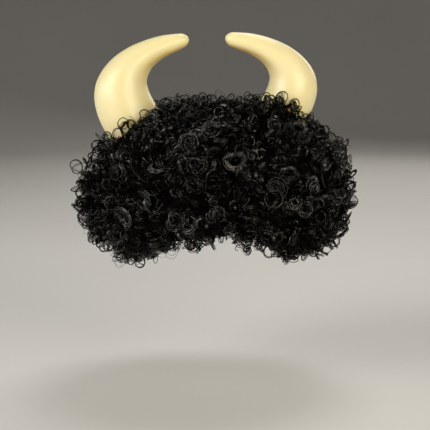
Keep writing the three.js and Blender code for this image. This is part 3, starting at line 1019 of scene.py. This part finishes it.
def cleared(strands):
    """Strands kept out of the horns and the head.

    Strands that come too near the head, that are rooted in a horn or that lie deep in one are dropped, and
    places that lie a little inside a horn are pushed out to its skin.
    """
    paths = strands["paths"]
    keep = (head_gauge(paths, BED_GAP_TO_HEAD) > 1).all(axis=-1)
    for horn in (HORN_LEFT, HORN_RIGHT):
        middles, halves = horn_sections(horn, HORN_COARSE_ROWS)
        radii = np.linalg.norm(halves, axis=-1)
        low = middles.min(axis=0) - radii.max()
        high = middles.max(axis=0) + radii.max()
        near = np.nonzero(((paths > low) & (paths < high)).all(axis=-1).any(axis=-1))[0]
        spot = paths[near]
        apart = spot[:, :, None] - middles
        clear = np.linalg.norm(apart, axis=-1) - radii - HORN_CLEARANCE
        nearest = clear.argmin(axis=-1)
        depth = np.take_along_axis(clear, nearest[..., None], axis=-1)
        way = unit(np.take_along_axis(apart, nearest[..., None, None], axis=2)[:, :, 0])
        paths[near] = spot - way * np.minimum(depth, 0)
        keep[near[depth.min(axis=(1, 2)) < -HORN_PUSH]] = False
        root = strands["root"][near]
        root_clear = (np.linalg.norm(root[:, None] - middles, axis=-1) - radii).min(axis=-1)
        keep[near[root_clear < -2 * HORN_CLEARANCE]] = False
    return {title: values[keep] for title, values in strands.items()}


def section_of(roots):
    """The sewn section that each root lies in, by its level and its bearing from the front."""
    from_front = np.degrees(np.arctan2(np.abs(roots[:, 0]), -roots[:, 1]))
    lower = np.where(from_front > BACK_BEARING, "back", np.where(roots[:, 0] < 0, "left", "right"))
    lower = np.where(from_front < FRINGE_BEARING, "fringe", lower)
    lower = np.where((lower == "back") & (roots[:, 0] > 0), "back_right", lower)
    crown = np.where(roots[:, 1] < 0, "crown_front", "crown_back")
    return np.where(roots[:, 2] > CROWN_LEVEL, crown, lower)


SECTION_NODES = {
    "crown_front": "hair_crown",
    "crown_back": "hair_crown",
    "fringe": "hair_fringe",
    "left": "hair_left",
    "right": "hair_right",
    "back": "hair_back",
    "back_right": "hair_back",
}


def joined_curls(section, batches, material):
    """One mesh from all the batches of strands of a section, with a map along and round each strand."""
    points, quads, ends, tones, lays = [], [], [], [], []
    offset = 0
    for batch in batches:
        corners = BAND_CORNERS if (batch["out"] != batch["across"]).any() else STRAND_CORNERS
        places, sides, caps = tubes(batch["paths"], batch["around"], batch["out"], batch["across"], corners)
        strands, count, _ = batch["paths"].shape
        points.append(places)
        quads.append(sides + offset)
        ends.append(caps + offset)
        tones.append(np.repeat(batch["tone"], count * corners))
        step = np.linalg.norm(np.diff(batch["paths"], axis=1), axis=-1)
        run = np.concatenate([np.zeros((strands, 1)), np.cumsum(step, axis=1)], axis=1) * MAP_ALONG
        girth = 4 * (batch["out"] + batch["across"]) * MAP_ROUND
        turn = np.arange(corners) / corners * girth[:, None, None]
        own = np.arange(strands)[:, None, None] * MAP_STEP
        lay = np.stack(np.broadcast_arrays(turn + own, run[..., None] + own), axis=-1)
        lays.append(lay.reshape(-1, 2))
        offset += len(places)
    return make_piece(
        f"{section}_curls",
        np.concatenate(points),
        np.concatenate(quads),
        np.concatenate(ends),
        material,
        {"tone": np.concatenate(tones)},
        np.concatenate(lays),
    )


def make_hair(curl_look, bed_look):
    """The bed, and on it seven pieces of curls, each a joined mesh of all the strands of its section."""
    grid, outer_rows = bed_grid()
    normals = grid_normals(grid)
    swell = lumps(grid, LUMP_LENGTH, LUMP_SEED) * LUMP_HEIGHT - BED_INSET
    for place, reach, height in CROWN_SWELLS:
        apart = np.linalg.norm(grid - np.array(place), axis=-1)
        swell = swell + height * np.exp(-(apart / reach) ** 2)
    swell[outer_rows:] = 0
    grid = grid + normals * swell[..., None]
    bed = closed_surface("hair_bed", grid, (0, 0, BED_TOP), (0, 0, BED_GAP_TO_HEAD), bed_look)
    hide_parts(*sorted(set(SECTION_NODES.values())))
    made = [bed]
    groups = {section: [] for section in SECTION_NODES}
    locks = placed_locks(grid[:outer_rows], normals[:outer_rows], rng)
    for kind, count, first, last, spacing in LOCKS:
        rows = slice(int(first * outer_rows), int(last * outer_rows))
        places, outward = spread_over(grid[rows], normals[rows], count, rng)
        locks.append(lock_strands(evened(places, outward, spacing), outward, kind, rng))
    for batch in (cleared(batch) for batches in locks for batch in batches):
        sections = section_of(batch["root"])
        for section, batches in groups.items():
            inside = sections == section
            batches.append({title: values[inside] for title, values in batch.items()})
    for section, batches in groups.items():
        made.append(joined_curls(section, batches, curl_look))
        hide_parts(SECTION_NODES[section])
    return made


# The studio

def make_floor(material):
    """A paper bowl: one profile, flat, then a quarter circle, then upright, turned round the upright axis.

    Of the two fans that close a tube it has the first alone, round its middle.
    """
    bend = np.linspace(0, math.pi / 2, PAPER_BEND_ROWS)
    reach = np.concatenate([FLOOR_RINGS, PAPER_WALL - PAPER_BEND * (1 - np.sin(bend)), [PAPER_WALL]])
    level = np.concatenate([np.zeros(len(FLOOR_RINGS)), PAPER_BEND * (1 - np.cos(bend)), [PAPER_HEIGHT]])
    bearing = np.linspace(0, 2 * math.pi, FLOOR_AROUND, endpoint=False)
    ring = np.stack([np.cos(bearing), np.sin(bearing)], axis=-1)
    rings = reach[:, None, None] * ring
    heights = np.broadcast_to(level[:, None, None] + FLOOR_LEVEL, (*rings.shape[:2], 1))
    points = np.concatenate([rings, heights], axis=-1).reshape(-1, 3)
    points = np.concatenate([points, [(0, 0, FLOOR_LEVEL)]])
    quads, fans = wrapped_faces(len(reach), FLOOR_AROUND)
    floor = make_piece("floor", points, quads, fans[:FLOOR_AROUND], material)


def soft_light(name, place, width, height, power, colour):
    """A soft box at a place, turned to the lights' aim."""
    data = bpy.data.lights.new(name, "AREA")
    data.shape = "RECTANGLE"
    data.size = width
    data.size_y = height
    data.energy = power
    data.color = colour
    lamp = bpy.data.objects.new(name, data)
    lamp.location = place
    way = Vector(LIGHT_AIM) - Vector(place)
    lamp.rotation_euler = way.to_track_quat("-Z", "Y").to_euler()
    bpy.context.scene.collection.objects.link(lamp)


def make_studio():
    """Soft boxes from the front left and right, the left, above and behind, in an even pale surround."""
    for light in LIGHTS:
        soft_light(*light)
    world = bpy.data.worlds.new("surround")
    world.use_nodes = True
    background = world.node_tree.nodes["Background"]
    set_inputs(background, {"Color": SURROUND_COLOUR, "Strength": SURROUND_STRENGTH})
    bpy.context.scene.world = world
    bpy.context.scene.view_settings.view_transform = "Standard"


def make_camera():
    """A long lens at the photograph's height and distance."""
    data = bpy.data.cameras.new("camera")
    data.sensor_width = SENSOR_MM
    data.lens = SENSOR_MM * PHOTO_DISTANCE / PHOTO_FRAME
    camera = bpy.data.objects.new("camera", data)
    way = Vector(TOWARDS_VIEW)
    camera.location = Vector(PHOTO_AIM) + way * PHOTO_DISTANCE
    camera.rotation_euler = (-way).to_track_quat("-Z", "Y").to_euler()
    bpy.context.scene.collection.objects.link(camera)
    bpy.context.scene.camera = camera


# The whole scene

make_camera()
make_studio()
make_floor(paper_material())

cap = make_cap(net_material())
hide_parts("wig_cap")
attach(cap, "root")

horn_look = horn_material()
for name, horn in (("horn_left", HORN_LEFT), ("horn_right", HORN_RIGHT)):
    horn_piece = make_horn(name + "_smooth", horn, horn_look)
    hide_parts(name)
    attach(horn_piece, "root")

for hair_piece in make_hair(curl_material(), bed_material()):
    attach(hair_piece, "root")

bpy.context.view_layer.update()
